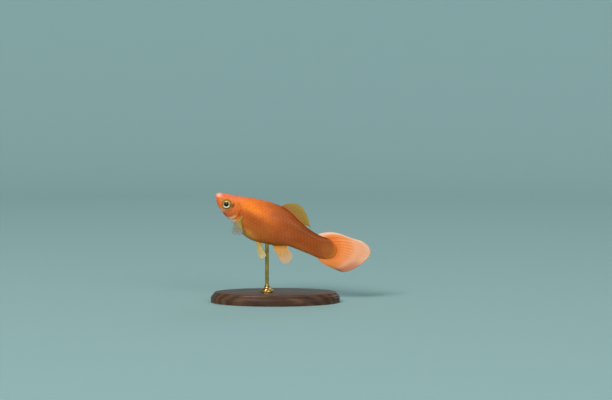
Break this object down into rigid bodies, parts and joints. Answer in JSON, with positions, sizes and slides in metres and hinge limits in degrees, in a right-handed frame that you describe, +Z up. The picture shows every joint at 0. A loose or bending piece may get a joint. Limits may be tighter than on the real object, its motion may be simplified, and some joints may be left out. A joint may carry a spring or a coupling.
{
  "type": "green swordtail fish model on a display stand",
  "caption": "Still life-size female swordtail, head up and tail swept aside, with ribbed fins, on a rod and an oval base.",
  "frame": {"origin": "centre of the stand base's underside", "axes": "+X from the head towards the tail, +Y to the fish's right side, +Z up; the head points to -X and up"},
  "size_m": [0.077, 0.034, 0.0527],
  "materials": {
    "skin": "orange scaled skin under a clear satin varnish",
    "eye": "silver and gold iris round a black pupil, high gloss",
    "yellow_fin": "thin olive-yellow membrane with rays, translucent satin",
    "orange_fin": "thin orange membrane with rays, translucent satin",
    "stand_wood": "dark walnut, satin varnish",
    "stand_rod": "turned and satin polished"
  },
  "bodies": {
    "root": {"head": "skin", "lower_jaw": "skin", "gill_cover_left": "skin", "gill_cover_right": "skin", "trunk": "skin", "tail_stalk": "skin", "eye_left": "eye", "eye_right": "eye", "dorsal_fin": "yellow_fin", "anal_fin": "yellow_fin", "tail_fin": "orange_fin", "pectoral_fin_left": "yellow_fin", "pectoral_fin_right": "yellow_fin", "pelvic_fin_left": "yellow_fin", "pelvic_fin_right": "yellow_fin", "stand_base": "stand_wood", "stand_rod": "stand_rod"}
  },
  "joints": []
}
